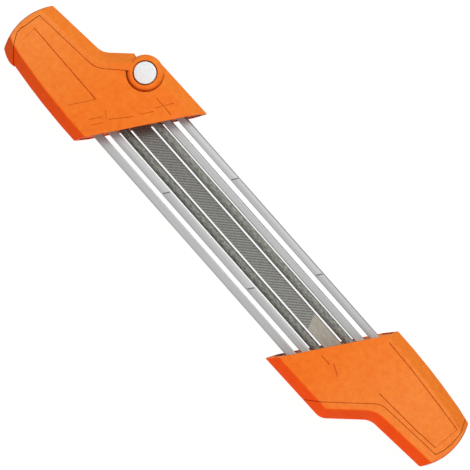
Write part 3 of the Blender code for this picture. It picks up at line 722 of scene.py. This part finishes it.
def white_nylon():
    """Natural white nylon: faint mottle, soft gloss."""
    material, tree, shader = new_material("white nylon")
    place = tree.nodes.new("ShaderNodeTexCoord").outputs["Object"]
    cloud = noise(tree, place, scale=420, detail=3)
    tree.links.new(blend(tree, cloud, *WHITE_TONES), shader.inputs["Base Color"])
    raise_grain(tree, shader, cloud, strength=0.12, distance=0.0002)
    shader.inputs["Roughness"].default_value = 0.4
    shader.inputs["Subsurface Weight"].default_value = 0.15
    shader.inputs["Subsurface Radius"].default_value = (1.0, 0.95, 0.9)
    shader.inputs["Subsurface Scale"].default_value = 0.001
    return material


nylon_white = white_nylon()
head_top = MID_HEIGHT - PIN_HEAD_RECESS
head_under = head_top - PIN_HEAD_THICKNESS
upper_head = cylinder(PIN_HEAD_RADIUS, head_under, head_top, *PIVOT)
pin = piece_from("pivot_pin_head", round_edges(upper_head, head_top, HEAD_ROUNDING))
carve(pin, [
    ("UNION", cylinder(PIN_RADIUS, -head_under + GAP, head_under + SHANK_ROOT, *PIVOT)),
    ("DIFFERENCE", cylinder(SPIGOT_RADIUS + GAP, -BEYOND, 0.0, *PIVOT)),
])
finish_piece(pin, nylon_white, "holder", ["pivot_pin"])
lower_head = cylinder(PIN_HEAD_RADIUS, -head_top, -head_under, *PIVOT)
pin_cap = piece_from("pivot_pin_foot", round_edges(lower_head, -head_top, HEAD_ROUNDING))
carve(pin_cap, [("UNION", cylinder(SPIGOT_RADIUS, -head_under - SHANK_ROOT, -SHANK_ROOT, *PIVOT))])
finish_piece(pin_cap, nylon_white, "holder", ["pivot_pin_cap"])


# Anchor blocks: fillings of the two mouths, moulded in the same orange nylon and pocketed for the
# bars and the files. A cross pin holds each one in its handle.
for letter in ("a", "b"):
    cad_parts["handle_" + letter + "_anchor_block"].material_slots[0].material = nylon_orange


# Guide bars: four drawn aluminium bars, pinned in both blocks. Each has one square side and one
# slanted side, and the bars of one side of the tool face opposite ways.
BAR_EDGES = {"inner": 0.01215, "outer": 0.01995}
BAR_WIDTHS = {"inner": (0.0044, 0.0050), "outer": (0.0054, 0.0043)}
BAR_HEIGHT = 0.0040
GUIDE_FACE = 0.00085
BAR_INSERT = 0.0160
BAR_ROUNDING = 0.00035
BAR_CORNER_STEPS = 5
BAR_PIN_RADIUS = 0.0011
BAR_PIN_INSERT = 0.0100
DRILL_SIDES = 32
MARK_SPACING = 0.0777
MARK_SHIFT = 0.0007
MARK_WIDTH = 0.0007
MARK_DEPTH = 0.0003
INK_THICKNESS = 0.0001
STREAK_LIMITS = (0.34, 0.66)
GLOSS_CHANGE = 0.06


def drawn_metal(name, dark, light, roughness, grain_scale, strength, relief=0.0001):
    """Bare metal with fine streaks along its length."""
    material, tree, shader = new_material(name)
    shader.inputs["Metallic"].default_value = 1.0
    stretch = tree.nodes.new("ShaderNodeMapping")
    stretch.inputs["Scale"].default_value = grain_scale
    tree.links.new(tree.nodes.new("ShaderNodeTexCoord").outputs["Object"], stretch.inputs["Vector"])
    streak = noise(tree, stretch.outputs["Vector"], scale=1.0, detail=4)
    colour = blend(tree, spread(tree, streak, *STREAK_LIMITS), dark, light)
    tree.links.new(colour, shader.inputs["Base Color"])
    gloss = spread(tree, streak, low=roughness - GLOSS_CHANGE, high=roughness + GLOSS_CHANGE)
    tree.links.new(gloss, shader.inputs["Roughness"])
    raise_grain(tree, shader, streak, strength, relief)
    return material


def cloudy(name, dark, light, scale, roughness):
    """Dull material whose colour drifts between two tones."""
    material, tree, shader = new_material(name)
    place = tree.nodes.new("ShaderNodeTexCoord").outputs["Object"]
    tree.links.new(blend(tree, noise(tree, place, scale), dark, light), shader.inputs["Base Color"])
    shader.inputs["Roughness"].default_value = roughness
    return material


def bar_facing(side, place):
    """1 where the far face of the bar is the upper one, and -1 where it is the lower one."""
    return 1 if (side == "left") == (place == "inner") else -1


def bar_section(side, place):
    """Middle of a bar and the Y and Z corners of its section."""
    sign = -1 if side == "left" else 1
    up = bar_facing(side, place)
    guide, far = -up * GUIDE_FACE, up * (BAR_HEIGHT - GUIDE_FACE)
    near = sign * BAR_EDGES[place]
    at_guide, at_far = (near + sign * width for width in BAR_WIDTHS[place])
    corners = [(near, guide), (at_guide, guide), (at_far, far), (near, far)]
    return near + sign * sum(BAR_WIDTHS[place]) / 4, corners


def run_along_x(outline, start, end):
    """Closed bar of one Y and Z outline along X."""
    return swept([(start, y, z) for y, z in outline], (end - start, 0, 0))


def mark_outline(x, centre, half):
    """Plan of a sighting mark at the filing angle, this far to both sides of the middle of a bar."""
    lean = half * math.tan(FILING_ANGLE)
    return strip([(x - lean, centre - half), (x + lean, centre + half)], MARK_WIDTH)


aluminium = drawn_metal(
    "drawn aluminium", dark=(0.30,) * 3, light=(0.35,) * 3, roughness=0.6,
    grain_scale=(18, 2600, 2600), strength=0.1,
)
mark_ink = cloudy("mark ink", dark=(0.05,) * 3, light=(0.16,) * 3, scale=900, roughness=0.6)
for side in ("left", "right"):
    for place in ("outer", "inner"):
        centre, corners = bar_section(side, place)
        middle = centre * math.tan(FILING_ANGLE)
        reach = MOUTH_ON_AXIS + BAR_INSERT
        outline = round_corners(corners, dict.fromkeys(range(4), BAR_ROUNDING), BAR_CORNER_STEPS)
        bar_form = run_along_x(outline, middle - reach, middle + reach)
        bar = piece_from(side + "_" + place + "_bar", bar_form)
        up = bar_facing(side, place)
        face = up * (BAR_HEIGHT - GUIDE_FACE)
        mark_floor, over = face - up * MARK_DEPTH, face + up * MARK_DEPTH
        ink_top = mark_floor + up * INK_THICKNESS
        cut_half = min(BAR_WIDTHS[place]) / 2 + BAR_ROUNDING
        ink_half = cut_half - 2 * BAR_ROUNDING
        steps = []
        for letter, end in (("a", -1), ("b", 1)):
            drill_x = middle + end * (MOUTH_ON_AXIS + BAR_PIN_INSERT)
            drill = cylinder(BAR_PIN_RADIUS + GAP, -BEYOND, BEYOND, drill_x, centre, DRILL_SIDES)
            mark_x = middle + end * MARK_SPACING / 2 - MARK_SHIFT
            cut = prism(mark_outline(mark_x, centre, cut_half), *sorted((mark_floor, over)))
            steps += [("DIFFERENCE", drill), ("DIFFERENCE", cut)]
            filling = prism(mark_outline(mark_x, centre, ink_half), *sorted((mark_floor, ink_top)))
            stroke = piece_from(f"{side}_{place}_mark_{letter}", filling)
            finish_piece(stroke, mark_ink, "holder", [])
        carve(bar, steps)
        finish_piece(bar, aluminium, "holder", ["guide_bar_" + side + "_" + place])


# Round files: hardened steel with a fine spiral cut, seated in the blocks at both ends. Each one
# narrows to a plain tang inside the hinged handle.
ROUND_FILE_Y = 0.0087
ROUND_FILE_Z = 0.00225
ROUND_FILE_RADIUS = 0.00275
FILE_POINT_RADIUS = 0.0020
FILE_POINT_LENGTH = 0.0040
TANG_LENGTH = 0.0400
TANG_ROOT_RADIUS = 0.0022
TANG_TIP_RADIUS = 0.0012
TANG_SHOULDER = 0.0040
TOOTH_BACK = 0.78
TOOTH_SHARP_ANGLE = math.radians(60)
SPIRAL_STARTS = 7
SPIRAL_PITCH = 0.0010
SPIRAL_DEPTH = 0.00016
SPIRAL_SIDES = 35
RINGS_IN_PITCH = 5


def tooth_height(phase):
    """Saw-shaped tooth: a long back and a short steep front, 0 at the root and 1 at the edge."""
    phase %= 1.0
    return phase / TOOTH_BACK if phase < TOOTH_BACK else (1.0 - phase) / (1.0 - TOOTH_BACK)


def spiral_file(side, sign):
    """Round file along X with its teeth cut in a spiral."""
    front = MOUTH_ON_AXIS + sign * ROUND_FILE_Y * math.tan(FILING_ANGLE) + FILE_INSERT
    rear = front - FILE_LENGTH
    places = [rear, rear + TANG_LENGTH - TANG_SHOULDER]
    cut_start, cut_end = rear + TANG_LENGTH, front - FILE_POINT_LENGTH
    ring_step = SPIRAL_PITCH / RINGS_IN_PITCH
    places += [cut_start + ring_step * n for n in range(int((cut_end - cut_start) / ring_step) + 1)]
    places.append(front)
    bm = bmesh.new()
    rings = []
    for x in places:
        ring = []
        for n in range(SPIRAL_SIDES):
            share = n / SPIRAL_SIDES
            if x < cut_start:
                radius = TANG_TIP_RADIUS if x == rear else TANG_ROOT_RADIUS
            elif x == front:
                radius = FILE_POINT_RADIUS
            else:
                depth = 1 - tooth_height((x - cut_start) / SPIRAL_PITCH + SPIRAL_STARTS * share)
                radius = ROUND_FILE_RADIUS - SPIRAL_DEPTH * depth
            angle = math.tau * share
            ring.append(bm.verts.new((
                x,
                sign * ROUND_FILE_Y + radius * math.cos(angle),
                sign * ROUND_FILE_Z + radius * math.sin(angle),
            )))
        rings.append(ring)
    for before, after in zip(rings, rings[1:]):
        for n in range(SPIRAL_SIDES):
            bm.faces.new((before[n - 1], before[n], after[n], after[n - 1]))
    bm.faces.new(rings[0])
    bm.faces.new(rings[-1][::-1])
    return piece_from("spiral_file_" + side, bm)


file_metal = drawn_metal(
    "file steel", dark=(0.12, 0.12, 0.109), light=(0.325, 0.323, 0.291), roughness=0.8,
    grain_scale=(420, 1600, 1600), strength=1.0, relief=0.0005,
)
for side, sign in (("left", -1), ("right", 1)):
    nodes = ["round_file_" + side]
    round_file = spiral_file(side, sign)
    finish_piece(round_file, file_metal, side + "_file", nodes, TOOTH_SHARP_ANGLE)


# Flat file: hardened steel of even section for the depth gauges, with slanted single-cut teeth on
# both faces and a smooth heel next to the fixed handle.
FLAT_FILE_WIDTH = 0.0100
FLAT_FILE_THICKNESS = 0.0030
FLAT_FILE_CHAMFER = 0.0003
FLAT_CUT_ANGLE = math.radians(52)
FLAT_CUT_PITCH = 0.00125
FLAT_CUT_DEPTH = 0.00022
FLAT_CUT_FRONT = 0.25
FLAT_CUT_SHARP_ANGLE = math.radians(10)
# Dust and painted shade in the cuts: dark from the foot of each tooth's steep front to part way up its
# back.
DUST_AND_SHADE_LIMITS = (FLAT_CUT_FRONT, 0.65)
DUST_AND_SHADE_SHARE = 0.75
DUST_AND_SHADE_COLOUR = (0.04, 0.04, 0.037)
HEEL_START = 0.0692
HEEL_SLANT = math.radians(23.8)


def chamfered(bm):
    """Takes the four long edges off a flat bar along X."""
    for side in (-1, 1):
        for up in (-1, 1):
            chamfer_y = side * (FLAT_FILE_WIDTH / 2 - FLAT_FILE_CHAMFER)
            normal = Vector((0, side, up)).normalized()
            trim(bm, Vector((0, chamfer_y, up * FLAT_FILE_THICKNESS / 2)), normal)
    return bm


def toothed_bar(rear, heel, normal):
    """Flat bar whose two faces are cut into slanted teeth, up to the heel plane."""
    lean = FLAT_FILE_WIDTH / math.tan(FLAT_CUT_ANGLE)
    half = FLAT_FILE_THICKNESS / 2
    count = int((heel - rear + 2 * lean) / FLAT_CUT_PITCH)
    crests = [rear - lean + n * FLAT_CUT_PITCH for n in range(count)]
    saw = []
    for x in crests:
        saw += [(x, half), (x + FLAT_CUT_FRONT * FLAT_CUT_PITCH, half - FLAT_CUT_DEPTH)]
    outline = saw + [(x, -z) for x, z in reversed(saw)]
    corners = [(x - lean / 2, -FLAT_FILE_WIDTH / 2, z) for x, z in outline]
    bm = swept(corners, (lean, FLAT_FILE_WIDTH, 0))
    trim(bm, Vector((rear, 0, 0)), Vector((-1, 0, 0)))
    trim(bm, Vector((heel, 0, 0)), normal)
    return chamfered(bm)


def cut_steel():
    """File steel darkened in the bottom of each slanted cut, partly by dust and partly by painted
    shade.
    """
    material = drawn_metal(
        "flat file steel", dark=(0.145, 0.14, 0.13), light=(0.205, 0.20, 0.185), roughness=0.6,
        grain_scale=(900, 900, 900), strength=0.2,
    )
    tree = material.node_tree
    colour = tree.nodes["Principled BSDF"].inputs["Base Color"]
    before_darkening = colour.links[0].from_socket
    count = tree.nodes.new("ShaderNodeVectorMath")
    count.operation = "DOT_PRODUCT"
    across = Vector((1.0, -1 / math.tan(FLAT_CUT_ANGLE), 0.0)) / FLAT_CUT_PITCH
    count.inputs[1].default_value = across
    tree.links.new(tree.nodes.new("ShaderNodeTexCoord").outputs["Object"], count.inputs[0])
    phase = calculate(tree, "FRACT", count.outputs["Value"])
    # Dust and painted shade: darkens the bottom of each slanted cut.
    dust_and_shade = spread(tree, phase, *DUST_AND_SHADE_LIMITS, low=DUST_AND_SHADE_SHARE, high=0.0)
    tree.links.new(blend(tree, dust_and_shade, before_darkening, DUST_AND_SHADE_COLOUR), colour)
    return material


flat_front = MOUTH_ON_AXIS + FILE_INSERT
flat_rear = flat_front - FILE_LENGTH
heel_normal = Vector((math.cos(HEEL_SLANT), math.sin(HEEL_SLANT), 0))
toothed = piece_from("flat_file_teeth", toothed_bar(flat_rear, HEEL_START, heel_normal))
finish_piece(toothed, cut_steel(), "holder", ["flat_file"], FLAT_CUT_SHARP_ANGLE)
wide, high = FLAT_FILE_WIDTH / 2, FLAT_FILE_THICKNESS / 2
heel_section = [(-wide, -high), (wide, -high), (wide, high), (-wide, high)]
heel_form = run_along_x(heel_section, HEEL_START - FLAT_FILE_WIDTH, flat_front)
trim(heel_form, Vector((HEEL_START, 0, 0)), -heel_normal)
heel = piece_from("flat_file_heel", chamfered(heel_form))
heel_metal = drawn_metal(
    "ground heel", dark=(0.23, 0.21, 0.18), light=(0.29, 0.265, 0.23), roughness=0.55,
    grain_scale=(300, 1200, 1200), strength=0.2,
)
finish_piece(heel, heel_metal, "holder", [])


# Pins and pad: plain wire pins through bars and blocks, and the black rubber pad on the cap's rib
# that presses on the three files. They are closed in and show only in gaps or when the cap is open.
wire_metal = drawn_metal(
    "wire pin", dark=(0.45, 0.45, 0.46), light=(0.55, 0.55, 0.56), roughness=0.35,
    grain_scale=(900, 900, 900), strength=0.1,
)
black_rubber = cloudy(
    "black rubber", dark=(0.022, 0.022, 0.022), light=(0.045, 0.044, 0.043), scale=600, roughness=0.8,
)
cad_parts["file_end_pad"].material_slots[0].material = black_rubber
for name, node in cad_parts.items():
    if "_bar_pin_" in name or name.endswith("lock_pin"):
        node.material_slots[0].material = wire_metal
